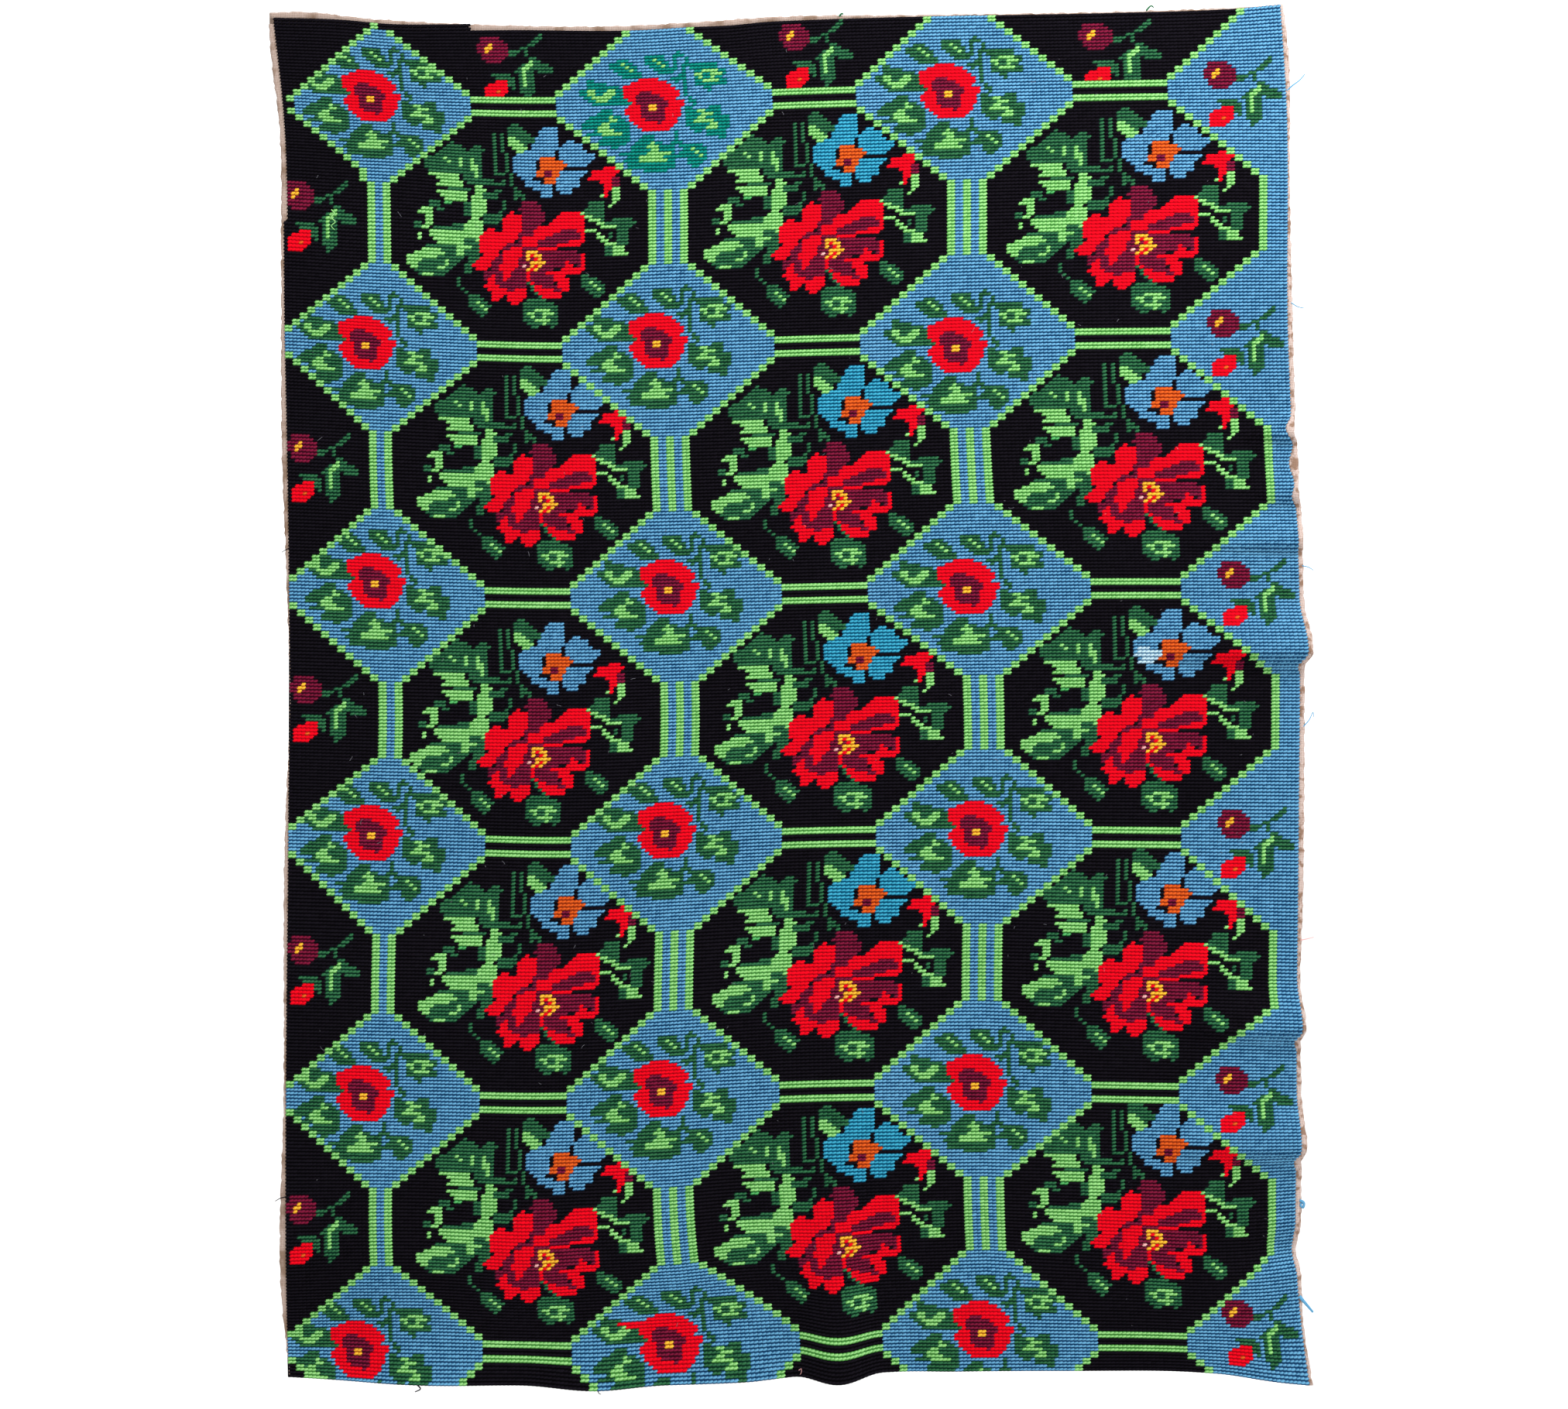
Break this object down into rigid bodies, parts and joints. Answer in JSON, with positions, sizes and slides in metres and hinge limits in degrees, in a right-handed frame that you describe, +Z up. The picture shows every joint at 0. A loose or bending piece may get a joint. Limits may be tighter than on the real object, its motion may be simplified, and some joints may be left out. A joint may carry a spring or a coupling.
{
  "type": "cross-stitch wall hanging",
  "caption": "Upright canvas wall hanging covered in wool cross stitch: a lattice of lime-edged blue diamonds and black octagons with roses, hung by its top edge.",
  "frame": {"origin": "middle of the top edge, halfway through the cloth's thickness", "axes": "+Z up, +X to the viewer's right, the stitched face looks along -Y and the wall is at +Y"},
  "size_m": [1.3482, 0.0389, 1.7862],
  "materials": {
    "wool_stitching": "matt wool cross stitch in black, blue, lime, greens, reds and yellow",
    "ground_canvas": "unbleached coarse woven canvas"
  },
  "bodies": {
    "root": {"embroidered_panel": "wool_stitching"}
  },
  "joints": []
}
